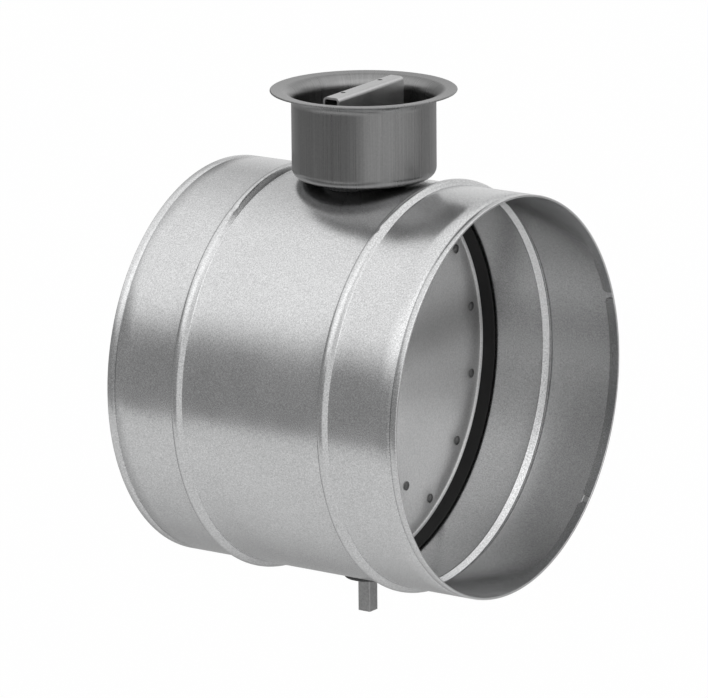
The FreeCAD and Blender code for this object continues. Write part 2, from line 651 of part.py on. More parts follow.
def lock_slot():
    """The curved slot in a foot, long enough for the blade's whole travel."""
    low = FOOT_BOTTOM_Z - CUT_PAST
    high = FOOT_TOP_Z + CUT_PAST
    reach = 2 * HANDLE_FOOT_R
    outer = cylinder_z(LOCK_CIRCLE_R + LOCK_SLOT_R, low, high)
    inner = cylinder_z(LOCK_CIRCLE_R - LOCK_SLOT_R, low, high)
    slot = outer.cut(inner).common(box((0, -reach, low), (reach, reach, high)))
    past_end = turned(box((-reach, 0, low), (reach, reach, high)), OPEN_ANGLE / 2)
    slot = slot.cut(past_end).cut(mirrored(past_end, AXIS_Y))
    for angle in (OPEN_ANGLE / 2, -OPEN_ANGLE / 2):
        end = on_circle(ORIGIN, LOCK_CIRCLE_R, angle, AXIS_X, AXIS_Y)
        slot = slot.fuse(cylinder_z(LOCK_SLOT_R, low, high, end.x, end.y))
    return slot


def handle_block(half_width, low, high, fold_r):
    """A block along the handle whose top climbs towards +Y, with rounded long edges."""
    half = HANDLE_LENGTH / 2
    corners = [
        point(-half_width, -half, low),
        point(-half_width, half, low),
        point(-half_width, half, high + HANDLE_RISE / 2),
        point(-half_width, -half, high - HANDLE_RISE / 2),
        point(-half_width, -half, low),
    ]
    block = Part.Face(Part.makePolygon(corners)).extrude(point(2 * half_width, 0, 0))
    top_length = math.hypot(HANDLE_LENGTH, HANDLE_RISE)
    long_edges = [edge for edge in block.Edges if abs(edge.Length - top_length) < TOUCH_GAP]
    ridges = [edge for edge in long_edges if edge.CenterOfMass.z > high - fold_r]
    return block.makeFillet(fold_r, ridges)


def make_handle():
    """The handle: an inverted U of folded sheet that grips the shaft, with a slotted foot on each side."""
    outer = HANDLE_OUTER_HALF
    under_top = HANDLE_TOP_Z - HANDLE_SHEET
    channel = handle_block(outer, FOOT_BOTTOM_Z, HANDLE_TOP_Z, HANDLE_FOLD_R)
    hollow = handle_block(HANDLE_INNER_HALF, 0, under_top, HANDLE_FOLD_R - HANDLE_SHEET)
    channel = channel.cut(hollow)
    foot = slotted_foot()
    handle = channel.fuse(foot).fuse(mirrored(foot, AXIS_X)).removeSplitter()
    hole_x, hole_y = HANDLE_HOLE_PLACE
    for y in (-hole_y, hole_y):
        hole = cylinder_z(HANDLE_HOLE_R, under_top - CUT_PAST, HANDLE_TOP_Z + CUT_PAST, hole_x, y)
        handle = handle.cut(hole)
    past = outer + CUT_PAST
    return handle.cut(cylinder_x(HANDLE_BOLT_R + TOUCH_GAP, -past, past, 0, HANDLE_BOLT_Z))


def hexagon(across_flats, low, high, x=0.0, y=0.0):
    """An upright six-sided bar."""
    radius = across_flats / math.sqrt(3)
    corners = []
    for number in range(7):
        angle = math.radians(60 * number)
        corners.append(point(x + radius * math.cos(angle), y + radius * math.sin(angle), low))
    return Part.Face(Part.makePolygon(corners)).extrude(point(0, 0, high - low))


def make_handle_bolt():
    """The bolt that clamps the handle's side plates on the shaft."""
    grip = HANDLE_OUTER_HALF
    head = hexagon(BOLT_ACROSS_FLATS, grip, grip + BOLT_HEAD_HEIGHT)
    shank = cylinder_z(HANDLE_BOLT_R, -grip - BOLT_NUT_HEIGHT - HANDLE_BOLT_END, grip)
    return along_x(head.fuse(shank), 0, HANDLE_BOLT_Z)


def make_handle_nut():
    """The nut on the handle's bolt."""
    far = -HANDLE_OUTER_HALF - BOLT_NUT_HEIGHT
    nut = hexagon(BOLT_ACROSS_FLATS, far, -HANDLE_OUTER_HALF)
    nut = nut.cut(cylinder_z(HANDLE_BOLT_R + TOUCH_GAP, far - CUT_PAST, 0))
    return along_x(nut, 0, HANDLE_BOLT_Z)


def lock_places():
    """Where the two locking studs stand: at the end of the handle's slots while the blade is closed."""
    angle = math.radians(LOCK_STUD_ANGLE)
    x = LOCK_CIRCLE_R * math.cos(angle)
    y = LOCK_CIRCLE_R * math.sin(angle)
    return [(x, y), (-x, -y)]


def make_locking_studs():
    """The shouldered studs riveted into the cup's floor."""
    studs = []
    for x, y in lock_places():
        stud = cylinder_z(LOCK_SHOULDER_R, CUP_FLOOR_Z, LOCK_SHOULDER_Z, x, y)
        stud = stud.fuse(cylinder_z(LOCK_STUD_R, CUP_BOTTOM_Z, LOCK_STUD_TOP_Z, x, y))
        studs.append(stud)
    return Part.makeCompound(studs)


def make_locking_washers():
    """The washers between the handle's feet and the locking nuts."""
    low = LOCK_WASHER_Z
    high = LOCK_WASHER_Z + LOCK_WASHER
    washers = []
    for x, y in lock_places():
        hole = cylinder_z(LOCK_STUD_R + SLIDE_GAP, low - CUT_PAST, high + CUT_PAST, x, y)
        washers.append(cylinder_z(LOCK_WASHER_R, low, high, x, y).cut(hole))
    return Part.makeCompound(washers)


def make_locking_nut(x, y):
    """A locking nut, its upper corners turned off at 45 degrees."""
    low = LOCK_NUT_Z
    high = LOCK_NUT_Z + LOCK_NUT_HEIGHT
    nut = hexagon(LOCK_NUT_ACROSS_FLATS, low, high, x, y)
    cone_low_r = LOCK_NUT_TOP_R + LOCK_NUT_HEIGHT
    nut = nut.common(Part.makeCone(cone_low_r, LOCK_NUT_TOP_R, LOCK_NUT_HEIGHT, point(x, y, low)))
    return nut.cut(cylinder_z(LOCK_STUD_R + TOUCH_GAP, low - CUT_PAST, high + CUT_PAST, x, y))


def build_nodes():
    """Every sub-part by its name."""
    front_nut, rear_nut = lock_places()
    front_disc = make_front_disc()
    gasket = make_gasket()
    return {
        "casing": make_casing(),
        "cup_saddle": make_cup_saddle(),
        "lower_seat": make_lower_seat(),
        "handle_cup": make_handle_cup(),
        "cup_rivets": make_cup_rivets(),
        "upper_bush": make_bush(CUP_FLOOR_Z),
        "lower_bush": below(make_bush(LOWER_SEAT_Z)),
        "upper_bush_nut": make_bush_nut(),
        "lower_bush_nut": below(make_bush_nut()),
        "upper_bush_seal": make_bush_seal(),
        "lower_bush_seal": below(make_bush_seal()),
        "upper_sleeve": make_sleeve(CUP_FLOOR_Z),
        "lower_sleeve": below(make_sleeve(LOWER_SEAT_Z)),
        "upper_shaft_seal": make_shaft_seal(),
        "lower_shaft_seal": below(make_shaft_seal()),
        "shaft": make_shaft(),
        "blade_front_disc": front_disc,
        "blade_rear_disc": mirrored(front_disc, AXIS_X),
        "gasket_right": gasket,
        "gasket_left": mirrored(gasket, AXIS_Y),
        "blade_rivets": make_blade_rivets(),
        "blade_spacers": make_spacers(),
        "spacer_rivets": make_spacer_rivets(),
        "shaft_rivets": make_shaft_rivets(),
        "handle": make_handle(),
        "handle_bolt": make_handle_bolt(),
        "handle_nut": make_handle_nut(),
        "locking_studs": make_locking_studs(),
        "locking_washers": make_locking_washers(),
        "locking_nut_front": make_locking_nut(*front_nut),
        "locking_nut_rear": make_locking_nut(*rear_nut),
    }


def main():
    os.makedirs("parts", exist_ok=True)
    for name, shape in build_nodes().items():
        shape.exportStep("parts/" + name + ".step")
        print(name, len(shape.Solids), shape.isValid(), round(shape.Volume, 1))


main()
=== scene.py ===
import json
import math

import bmesh
import bpy
from mathutils import Matrix, Vector, noise


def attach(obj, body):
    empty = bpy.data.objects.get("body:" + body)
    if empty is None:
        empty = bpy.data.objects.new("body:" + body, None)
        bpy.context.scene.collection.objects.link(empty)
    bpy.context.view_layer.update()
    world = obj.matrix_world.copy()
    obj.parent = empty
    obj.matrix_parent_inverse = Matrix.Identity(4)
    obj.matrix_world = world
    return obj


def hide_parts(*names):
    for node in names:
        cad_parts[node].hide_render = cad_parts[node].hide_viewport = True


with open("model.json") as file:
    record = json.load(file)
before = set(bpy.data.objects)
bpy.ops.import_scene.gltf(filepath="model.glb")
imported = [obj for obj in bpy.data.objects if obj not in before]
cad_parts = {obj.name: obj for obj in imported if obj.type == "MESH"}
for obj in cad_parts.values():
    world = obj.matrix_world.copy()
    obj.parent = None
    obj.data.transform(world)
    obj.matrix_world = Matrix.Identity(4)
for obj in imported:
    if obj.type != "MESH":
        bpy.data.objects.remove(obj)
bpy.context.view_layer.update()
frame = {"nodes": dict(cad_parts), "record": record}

# Round shut-off damper: finishes, finer meshes for its thin sheet and rubber, studio and camera.
# Places in the scene are in metres. X is the duct's axis, Z the blade's shaft.
MILLIMETRE = 0.001

# Edges of the new meshes that turn by more degrees than this are kept sharp
SHARP_ANGLE = 38.0

# The photograph's camera, found from the outlines of the rims, beads, cup and shaft
IMAGE_WIDTH = 708
IMAGE_HEIGHT = 698
VIEW_AZIMUTH = math.radians(34.5763)
VIEW_ELEVATION = math.radians(14.2544)
VIEW_ROLL = math.radians(-0.5166)
VIEW_DISTANCE = 3.4312
VIEW_REACH = 50.0
FOCAL_PIXELS = 6201.62
ORIGIN_PIXEL = (366.045, 374.563)
SENSOR_WIDTH = 36.0

# The studio floor: its place and size, its painted shadow behind the object and paler shade in front, and its
# glow to the camera
FLOOR_Z = -0.35
FLOOR_R = 2.52
FLOOR_RIGHT = 0.9
FLOOR_BEHIND = 1.3
FLOOR_CORNERS = 128
FLOOR_PAINTED_SHADE_STEP = (-0.28, 0.1)
FLOOR_PAINTED_SHADE_BEHIND = 0.42
FLOOR_PAINTED_SHADE_FRONT = 0.76
FLOOR_GLOW = 1.06
FLOOR_GLOW_SHARE = 0.9
WHITE = (1.0, 1.0, 1.0, 1.0)

# The light round the object. Heights and bearings are in degrees; a bearing starts at the way
# to the camera and grows to the camera's right. Each step changes the wall's level by its last value.
CEILING_LOW = 12.0
CEILING_HIGH = 35.0
CEILING_LEVEL = 1.05
CEILING_BACK = 0.62
CEILING_BACK_STEP = (-0.85, -0.3)
CEILING_FRONT = 1.3
CEILING_FRONT_STEP = (0.15, 0.6)
WALL_LEVEL = 0.78
WALL_STEPS = ((-180.0, -172.0, -0.5), (-16.0, 8.0, 0.45), (58.0, 75.0, -0.35), (112.0, 135.0, 0.45))

# The finishes. Bump depths and the place of the painted reflection band are in metres; most noise lies in
# this range.
NOISE_LOW = 0.3
NOISE_HIGH = 0.7
FINE_BUMP = 0.00002
# A painted reflection: a dark band at this height across the tube's inner face and the blade, standing in for
# a dark horizon mirrored there.
PAINTED_REFLECTION_HEIGHT = 0.015
PAINTED_REFLECTION_HALF = 0.024

# Plain metals: base level, roughness, grain scale, amount of grain, bump depth
PLAIN_METALS = {
    "handle_sheet": (0.6, 0.34, 800.0, 0.03, 0.00003),
    "bar_steel": (0.36, 0.42, 900.0, 0.06, 0.00006),
    "fastener_zinc": (0.56, 0.3, 1200.0, 0.03, 0.00002),
    # The rivets' very dark level is painted shade, standing in for the shaded dimples round their heads.
    "rivet_steel": (0.17, 0.5, 1200.0, 0.04, 0.00002),
}

# Moulded rubber and plastic: grain scale, darkest and palest shade, least and greatest roughness, bump depth
MOULDED_FINISHES = {
    "seal_rubber": (1400.0, (0.008, 0.014), (0.62, 0.78), 0.00003),
    "bush_plastic": (1700.0, (0.028, 0.036), (0.42, 0.55), 0.00002),
}

# The tube's sizes in millimetres, its bearings in degrees from +Y towards +Z
TUBE_OUTER = 111.65
TUBE_INNER = 110.95
TUBE_SHEET = 0.7
TUBE_HALF = 95.5
MIDDLE_STATIONS = (0.0, 3.2, 6.4, 9.6, 12.8, 16.0, 20.0, 28.0, 36.0)
BEAD_PLACE = 48.1
BEAD_RISE = 3.15
BEAD_HALF = 4.0
BEAD_CREST_OUTSIDE = 3.0
BEAD_CREST_INSIDE = 2.4
BEAD_SLOPE_OUTSIDE = 60.0
BEAD_SLOPE_INSIDE = 50.0
BEAD_FOOT_STEPS = 6
BEAD_CREST_STEPS = 12
HEM_REACH = 6.0
HEM_FOLD = 0.7
HEM_LIFT = 0.6
HEM_STEPS = 10
RIM_OUTER_ROUND = 0.7
RIM_INNER_ROUND = 0.35
ROUND_STEPS = 5
PLAIN_STEPS = 5
CREASE_FROM_END = 4.6
CREASE_DEPTH = 0.8
CREASE_HALF = 1.4
CREASE_STEPS = 3
RIM_STEPS = 2
NOTCH_BEARINGS = (-43.5, 19.0)
NOTCH_HALF = 1.8
NOTCH_CORNER = 4.2
NOTCH_ZONE = 8.0
NOTCH_STEPS = 24
POINT_GAP = 0.01
BUSH_HOLE = 12.9
DENT_BEARING = 119.5
DENT_DEPTH = 0.5
DENT_HALF = 1.6
WAVE_DEPTH = 0.16
WAVE_LENGTH = 42.0
WAVES_ROUND = 2.4

# The blade's discs, in millimetres and degrees
DISC_R = 107.7
DISC_INSIDE = 4.0
DISC_SHEET = 1.0
DISC_CURL_FROM = 106.5
DISC_CURL_RISE = 1.4
DISC_CURL_LEAD = 0.7
DISC_EVEN_R = 100.0
COARSE_ZONE_R = 90.0
COARSE_RINGS = 45
FINE_RING = 1.25
FINE_RINGS = 12
CURL_RINGS = 4
WINDOW_HALF = 14.43
WINDOW_HEIGHT = 104.73
WINDOW_CORNER_TURN = 0.003
RIVET_COUNT = 16
RIVET_CIRCLE_R = 100.0
SPACER_PLACE = (31.97, 70.49)
RIVET_DENT_DEPTH = 0.5
RIVET_DENT_R = 5.5
RIVET_DENT_REACH = 3.0

# The blade's rubber, in millimetres and degrees
RUBBER_CREST_R = 110.6
RUBBER_CREST_STEPS = 24
RUBBER_SEAT_R = 107.85
RUBBER_WEB_R = 92.7
RUBBER_STEP = 1.5
RUBBER_LIP = 0.9
RUBBER_LIP_END = 13.3
RUBBER_SIDE_GAP = 0.05
RUBBER_END_BEARING = 82.4
RUBBER_STATIONS = 166


class Graph:
    """Adds nodes to one node tree and joins them."""

    def __init__(self, tree):
        self.tree = tree
        tree.nodes.clear()

    def put(self, socket, value):
        if isinstance(value, bpy.types.NodeSocket):
            self.tree.links.new(value, socket)
        else:
            socket.default_value = value

    def node(self, kind, inputs=None, **settings):
        node = self.tree.nodes.new(kind)
        for name, value in settings.items():
            setattr(node, name, value)
        for name, value in (inputs or {}).items():
            self.put(node.inputs[name], value)
        return node

    def math(self, operation, first, second=0.0):
        return self.node("ShaderNodeMath", {0: first, 1: second}, operation=operation).outputs[0]

    def total(self, first, *others):
        for value in others:
            first = self.math("ADD", first, value)
        return first

    def vector(self, operation, first, second):
        return self.node("ShaderNodeVectorMath", {0: first, 1: second}, operation=operation).outputs[0]

    def spread(self, value, low, high, to_low, to_high, smooth=False):
        """Turns values from low to high into values from to_low to to_high."""
        kind = "SMOOTHSTEP" if smooth else "LINEAR"
        inputs = {"Value": value, "From Min": low, "From Max": high, "To Min": to_low, "To Max": to_high}
        return self.node("ShaderNodeMapRange", inputs, interpolation_type=kind).outputs[0]

    def vary(self, grain, low, high):
        """Turns a noise into values from low to high."""
        return self.spread(grain, NOISE_LOW, NOISE_HIGH, low, high)

    def swing(self, grain, amount):
        """Turns a noise into values round nought."""
        return self.vary(grain, -amount, amount)

    def noise(self, place, scale, detail, roughness):
        inputs = {"Vector": place, "Scale": scale, "Detail": detail, "Roughness": roughness}
        return self.node("ShaderNodeTexNoise", inputs).outputs[0]

    def grey(self, value):
        return self.tinted(value, value, value)

    def tinted(self, red, green, blue):
        return self.node("ShaderNodeCombineColor", {0: red, 1: green, 2: blue}).outputs[0]

    def place(self):
        """Where a point lies on its piece, in metres."""
        return self.node("ShaderNodeTexCoord").outputs["Object"]

    def split_place(self):
        return self.node("ShaderNodeSeparateXYZ", {0: self.place()}).outputs

    def round_z(self, around, along):
        """Coordinates that follow a wall round the Z axis, with no seam."""
        x, y, z = self.split_place()
        flat = self.node("ShaderNodeCombineXYZ", {0: x, 1: y}).outputs[0]
        way = self.node("ShaderNodeVectorMath", {0: flat}, operation="NORMALIZE").outputs[0]
        way = self.vector("MULTIPLY", way, (around, around, 0.0))
        up = self.node("ShaderNodeCombineXYZ", {2: self.math("MULTIPLY", z, along)}).outputs[0]
        return self.vector("ADD", way, up)

    def streak_and_painted_reflection(self):
        """One at the height of the painted dark reflection band on the piece, fading to nought above and
        below it.
        """
        height = self.split_place()[2]
        apart = self.math("ABSOLUTE", self.math("SUBTRACT", height, PAINTED_REFLECTION_HEIGHT))
        return self.spread(apart, 0.0, PAINTED_REFLECTION_HALF, 1.0, 0.0, True)

    def painted_shade_factor(self, share, darkest):
        """A factor of one that sinks to darkest where the share is one: painted shade for the dark reflection
        band.
        """
        return self.spread(share, 0.0, 1.0, 1.0, darkest)

    def inside_tube(self):
        """One on the tube's inner face, nought on its outer face."""
        x, y, z = self.split_place()
        flat = self.node("ShaderNodeCombineXYZ", {1: y, 2: z}).outputs[0]
        radius = self.node("ShaderNodeVectorMath", {0: flat}, operation="LENGTH").outputs["Value"]
        middle = (TUBE_OUTER + TUBE_INNER) / 2 * MILLIMETRE
        return self.math("LESS_THAN", radius, middle)

    def bump(self, height, distance, strength):
        inputs = {"Height": height, "Distance": distance, "Strength": strength}
        return self.node("ShaderNodeBump", inputs).outputs[0]

    def surface(self, inputs):
        shader = self.node("ShaderNodeBsdfPrincipled", inputs)
        self.node("ShaderNodeOutputMaterial", {"Surface": shader.outputs[0]})


def new_material(name):
    material = bpy.data.materials.new(name)
    material.use_nodes = True
    return material, Graph(material.node_tree)


def galvanised_material():
    """Hot-dip galvanised sheet: satin, faint spangles, fine grain; inside the tube a painted dark reflection
    band.
    """
    material, graph = new_material("galvanised_sheet")
    place = graph.place()
    grain = graph.noise(place, scale=1300.0, detail=2.0, roughness=0.6)
    cloud = graph.noise(place, scale=26.0, detail=3.0, roughness=0.55)
    orange_peel = graph.noise(place, scale=900.0, detail=2.0, roughness=0.5)
    spangle = graph.node("ShaderNodeTexVoronoi", {"Vector": place, "Scale": 190.0}).outputs["Color"]
    flecks = graph.spread(spangle, 0.0, 1.0, -0.01, 0.01)
    level = graph.total(graph.swing(grain, 0.15), graph.swing(cloud, 0.02), flecks, 0.66)
    # Painted reflection: a dark band across the tube's inner face, standing in for the mirrored dark horizon.
    share = graph.math("MULTIPLY", graph.inside_tube(), graph.streak_and_painted_reflection())
    level = graph.math("MULTIPLY", level, graph.painted_shade_factor(share, 0.8))
    red = graph.math("MULTIPLY", level, 0.995)
    blue = graph.math("MULTIPLY", level, 1.005)
    graph.surface({
        "Base Color": graph.tinted(red, level, blue),
        "Metallic": 1.0,
        "Roughness": graph.vary(cloud, 0.21, 0.27),
        "Normal": graph.bump(orange_peel, FINE_BUMP, strength=0.4),
    })
    return material


def drawn_material():
    """Deep-drawn bare sheet: darker, with fine streaks up the wall."""
    material, graph = new_material("drawn_sheet")
    streak_and_painted_reflection = graph.noise(graph.round_z(around=42.0, along=6.0), scale=1.0, detail=3.0, roughness=0.6)
    hair = graph.noise(graph.round_z(around=120.0, along=30.0), scale=1.0, detail=2.0, roughness=0.6)
    grain = graph.noise(graph.place(), scale=900.0, detail=2.0, roughness=0.6)
    level = graph.total(graph.swing(streak_and_painted_reflection, 0.03), graph.swing(hair, 0.02), graph.swing(grain, 0.015), 0.285)
    graph.surface({
        "Base Color": graph.grey(level),
        "Metallic": 1.0,
        "Roughness": graph.vary(streak_and_painted_reflection, 0.26, 0.34),
        "Normal": graph.bump(hair, FINE_BUMP, strength=0.25),
    })
    return material


def plain_metal(name, level, rough, grain_scale, grain_amount, bump_depth):
    """Bare or plated steel with a fine even grain."""
    material, graph = new_material(name)
    place = graph.place()
    grain = graph.noise(place, grain_scale, detail=3.0, roughness=0.6)
    cloud = graph.noise(place, grain_scale / 18, detail=2.0, roughness=0.5)
    shade = graph.vary(grain, level - grain_amount, level + grain_amount)
    shade = graph.math("ADD", shade, graph.swing(cloud, grain_amount / 2))
    graph.surface({
        "Base Color": graph.grey(shade),
        "Metallic": 1.0,
        "Roughness": graph.vary(cloud, rough - 0.04, rough + 0.04),
        "Normal": graph.bump(grain, bump_depth, strength=0.4),
    })
    return material


def blade_material():
    """Zinc-coated sheet, duller than the tube, with the same painted dark reflection band."""
    material, graph = new_material("blade_sheet")
    place = graph.place()
    grain = graph.noise(place, scale=1300.0, detail=2.0, roughness=0.6)
    cloud = graph.noise(place, scale=34.0, detail=3.0, roughness=0.55)
    level = graph.total(graph.vary(grain, 0.56, 0.74), graph.swing(cloud, 0.03))
    # Painted reflection: the same dark band across the blade, darker here than on the tube.
    level = graph.math("MULTIPLY", level, graph.painted_shade_factor(graph.streak_and_painted_reflection(), 0.66))
    graph.surface({
        "Base Color": graph.grey(level),
        "Metallic": 0.6,
        "Roughness": graph.vary(cloud, 0.32, 0.4),
        "Normal": graph.bump(grain, FINE_BUMP, strength=0.3),
    })
    return material


def moulded_material(name, grain_scale, shade, rough, bump_depth):
    """Dark rubber or plastic with a faint moulded grain."""
    material, graph = new_material(name)
    grain = graph.noise(graph.place(), grain_scale, detail=2.0, roughness=0.5)
    graph.surface({
        "Base Color": graph.grey(graph.vary(grain, shade[0], shade[1])),
        "Roughness": graph.vary(grain, rough[0], rough[1]),
        "Normal": graph.bump(grain, bump_depth, strength=0.4),
    })
    return material


def make_materials():
    materials = {
        "galvanised_sheet": galvanised_material(),
        "drawn_sheet": drawn_material(),
        "blade_sheet": blade_material(),
    }
    for name, values in PLAIN_METALS.items():
        materials[name] = plain_metal(name, *values)
    for name, values in MOULDED_FINISHES.items():
        materials[name] = moulded_material(name, *values)
    return materials


def add_piece(name, body, node, slot, vertices, faces):
    """A new mesh on a body in place of a node, its faces turned outward and its corners kept sharp."""
    mesh = bpy.data.meshes.new(name)
    mesh.from_pydata(vertices, [], faces)
    shell = bmesh.new()
    shell.from_mesh(mesh)
    bmesh.ops.recalc_face_normals(shell, faces=shell.faces)
    shell.to_mesh(mesh)
    shell.free()
    mesh.materials.append(MATERIALS[slot])
    mesh.shade_smooth()
    mesh.set_sharp_from_angle(angle=math.radians(SHARP_ANGLE))
    piece = bpy.data.objects.new(name, mesh)
    bpy.context.scene.collection.objects.link(piece)
    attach(piece, body)
    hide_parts(node)


def in_metres(point):
    return [value * MILLIMETRE for value in point]


def arc_points(centre, radius, start, end, steps):
    """Points along an arc of the tube's section; angles from the duct's axis direction."""
    points = []
    for number in range(steps + 1):
        angle = math.radians(start + (end - start) * number / steps)
        points.append((centre[0] + radius * math.cos(angle), centre[1] + radius * math.sin(angle)))
    return points


def run_points(start, end, steps):
    """Evenly spaced points on a straight run of the section, without its last one."""
    points = []
    for number in range(steps):
        share = number / steps
        points.append((start[0] + (end[0] - start[0]) * share, start[1] + (end[1] - start[1]) * share))
    return points


def bead_points(inset, slope, crest_round):
    """One rolled bead of the section, from low to high along the duct: foot, crest, foot."""
    rise = math.sin(math.radians(slope))
    run = math.cos(math.radians(slope))
    both_rounds = (BEAD_HALF * rise - BEAD_RISE * run) / (1 - run)
    foot = both_rounds - crest_round + inset
    foot_height = TUBE_OUTER - inset + foot
    crest = (BEAD_PLACE, TUBE_OUTER + BEAD_RISE - crest_round)
    points = arc_points((BEAD_PLACE - BEAD_HALF, foot_height), foot, -90, -90 + slope, BEAD_FOOT_STEPS)
    points += arc_points(crest, crest_round - inset, 90 + slope, 90 - slope, BEAD_CREST_STEPS)[1:]
    points += arc_points((BEAD_PLACE + BEAD_HALF, foot_height), foot, -90 - slope, -90, BEAD_FOOT_STEPS)[1:]
    return points


def outer_section():
    """The outer face of the section's +X half, from its middle over bead and crease round the rim."""
    crease = TUBE_HALF - CREASE_FROM_END
    crease_start = (crease - CREASE_HALF, TUBE_OUTER)
    crease_end = (crease + CREASE_HALF, TUBE_OUTER)
    groove = (crease, TUBE_OUTER - CREASE_DEPTH)
    rim_centre = (TUBE_HALF - RIM_OUTER_ROUND, TUBE_OUTER - RIM_OUTER_ROUND)
    points = [(x, TUBE_OUTER) for x in MIDDLE_STATIONS]
    points += bead_points(0, BEAD_SLOPE_OUTSIDE, BEAD_CREST_OUTSIDE)
    points += run_points((BEAD_PLACE + BEAD_HALF, TUBE_OUTER), crease_start, PLAIN_STEPS)[1:]
    points += run_points(crease_start, groove, CREASE_STEPS)
    points += run_points(groove, crease_end, CREASE_STEPS)
    points += run_points(crease_end, (rim_centre[0], TUBE_OUTER), RIM_STEPS)
    points += arc_points(rim_centre, RIM_OUTER_ROUND, 90, 0, ROUND_STEPS)
    return points


def tube_section():
    """The +X half of the tube's section as a list of points, and which of them lie on the fold."""
    hem_start = TUBE_HALF - HEM_REACH
    hem_height = TUBE_OUTER - 2 * HEM_FOLD
    edge_height = hem_height - HEM_LIFT
    edge_round = TUBE_SHEET / 2
    edge_centre = (hem_start + edge_round, edge_height + edge_round)
    rim_centre = (TUBE_HALF - RIM_INNER_ROUND, hem_height + RIM_INNER_ROUND)
    outer = outer_section()
    outer += arc_points(rim_centre, RIM_INNER_ROUND, 0, -90, ROUND_STEPS)
    fold = run_points((rim_centre[0] - POINT_GAP, hem_height), (edge_centre[0], edge_height), HEM_STEPS)
    fold += arc_points(edge_centre, edge_round, -90, -180, ROUND_STEPS)
    inner = [(hem_start, TUBE_INNER - POINT_GAP)]
    bead_end = (BEAD_PLACE + BEAD_HALF, TUBE_INNER)
    inner += run_points((hem_start - POINT_GAP, TUBE_INNER), bead_end, PLAIN_STEPS)
    inner += bead_points(TUBE_SHEET, BEAD_SLOPE_INSIDE, BEAD_CREST_INSIDE)[::-1]
    inner += [(x, TUBE_INNER) for x in reversed(MIDDLE_STATIONS)]
    on_fold = [False] * len(outer) + [True] * len(fold) + [False] * len(inner)
    return outer + fold + inner, on_fold


def tube_bearings():
    """Stations round the tube, close together at the rim's two notches."""
    marks = list(range(360))
    zone = math.degrees(NOTCH_ZONE / TUBE_INNER)
    for centre in NOTCH_BEARINGS:
        centre %= 360
        marks = [mark for mark in marks if abs(mark - centre) > zone]
        marks += [centre + zone * step / NOTCH_STEPS for step in range(-NOTCH_STEPS, NOTCH_STEPS + 1)]
    return sorted(marks)


def in_notch(x, bearing):
    """True where the folded edge was cut away before folding."""
    hem_start = TUBE_HALF - HEM_REACH
    reach = NOTCH_HALF
    if x < hem_start + NOTCH_CORNER:
        across = hem_start + NOTCH_CORNER - x
        reach = NOTCH_HALF + NOTCH_CORNER - math.sqrt(max(0.0, NOTCH_CORNER ** 2 - across ** 2))
    for centre in NOTCH_BEARINGS:
        turn = (bearing - centre + 180) % 360 - 180
        if abs(math.radians(turn)) * TUBE_INNER < reach:
            return True
    return False


def sheet_wave(x, bearing):
    """How far the thin sheet lies inside its true cylinder, as slight waves."""
    angle = math.radians(bearing)
    spot = Vector((x / WAVE_LENGTH, WAVES_ROUND * math.cos(angle), WAVES_ROUND * math.sin(angle)))
    return WAVE_DEPTH * (0.5 + 0.5 * noise.noise(spot))


def bead_dent(x, radius, bearing):
    """The small dent in each bead where its rolling began."""
    rise = max(0.0, radius - TUBE_OUTER) / BEAD_RISE
    if abs(abs(x) - BEAD_PLACE) > BEAD_HALF:
        return 0.0
    along = math.radians(bearing - DENT_BEARING) * TUBE_OUTER / DENT_HALF
    return DENT_DEPTH * rise * math.exp(-along * along)


def tube_vertex(x, radius, folded, bearing):
    """A point of the tube; where the fold is cut away its points lie on the tube's inner face."""
    if folded and in_notch(abs(x), bearing):
        radius = TUBE_INNER - 2 * POINT_GAP
    radius -= sheet_wave(x, bearing) + bead_dent(x, radius, bearing)
    angle = math.radians(bearing)
    return in_metres((x, radius * math.cos(angle), radius * math.sin(angle)))


def tube_cells(whole, bearings):
    """The tube's faces, and those that the two bush holes take away."""
    count = len(whole)
    faces = []
    removed = []
    for ring, bearing in enumerate(bearings):
        following = (ring + 1) % len(bearings)
        half_turn = (bearings[following] - bearing) % 360 / 2
        across = TUBE_OUTER * math.cos(math.radians(bearing + half_turn))
        for number in range(count):
            after = (number + 1) % count
            near = ring * count
            far = following * count
            corners = (near + number, far + number, far + after, near + after)
            along = (whole[number][0] + whole[after][0]) / 2
            if math.hypot(along, across) < BUSH_HOLE:
                removed.append(corners)
            else:
                faces.append(corners)
    return faces, removed


def hole_edges(removed):
    """The sides that only one of the removed faces has."""
    uses = {}
    for corners in removed:
        for side in range(4):
            ends = tuple(sorted((corners[side], corners[(side + 1) % 4])))
            uses[ends] = uses.get(ends, 0) + 1
    return [ends for ends, times in uses.items() if times == 1]


def hole_walls(vertices, removed, whole):
    """Makes the bush holes round and gives the faces of their walls."""
    count = len(whole)
    inner_at = {x: number for number, (x, radius, folded) in enumerate(whole) if radius == TUBE_INNER}
    edges = hole_edges(removed)
    for index in sorted({index for ends in edges for index in ends}):
        x, y, z = vertices[index]
        radius = math.hypot(y, z)
        share = BUSH_HOLE * MILLIMETRE / math.hypot(x, y)
        y *= share
        vertices[index] = [x * share, y, math.copysign(math.sqrt(radius ** 2 - y ** 2), z)]
    walls = []
    for ends in edges:
        if all(whole[index % count][1] == TUBE_OUTER for index in ends):
            under = [index - index % count + inner_at[whole[index % count][0]] for index in ends]
            walls.append((ends[0], ends[1], under[1], under[0]))
    return walls


